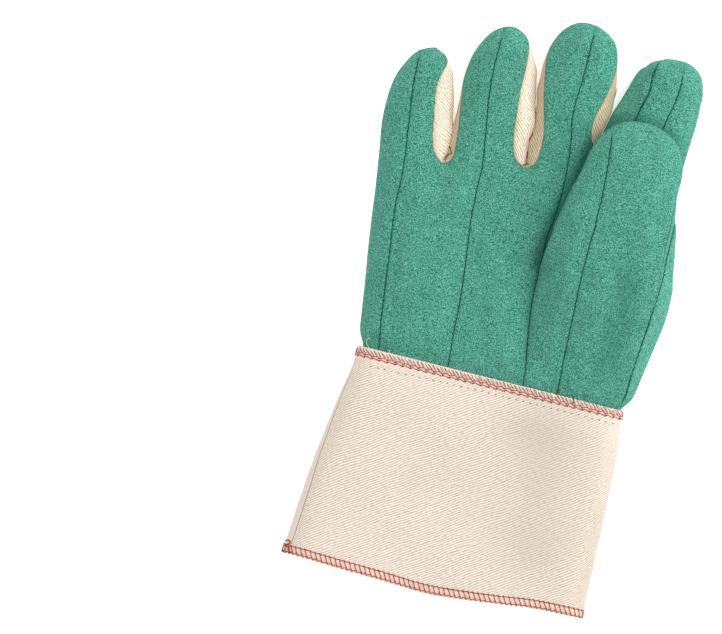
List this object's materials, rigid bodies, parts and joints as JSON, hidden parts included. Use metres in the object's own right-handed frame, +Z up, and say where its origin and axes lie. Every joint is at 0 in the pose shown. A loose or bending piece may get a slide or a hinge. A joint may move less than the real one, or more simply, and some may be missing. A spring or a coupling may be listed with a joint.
{
  "type": "hot mill glove",
  "caption": "Right-hand heat-protective work glove with a quilted fleece palm and thumb, twill finger backs and a twill gauntlet cuff, lying palm up.",
  "frame": {"origin": "middle of the glove's box, on the surface that it lies on", "axes": "+Z up, out of the palm; +Y from the cuff to the fingertips; +X towards the thumb's side"},
  "size_m": [0.178, 0.3256, 0.044],
  "materials": {
    "fleece": "napped quilted cotton fleece, matt",
    "twill": "unbleached cotton twill, matt"
  },
  "bodies": {
    "root": {"palm": "fleece", "thumb_front": "fleece", "thumb_back": "fleece", "index_back": "fleece", "middle_back": "twill", "ring_back": "twill", "little_back": "twill", "knuckle_strap": "twill", "cuff": "twill"}
  },
  "joints": []
}
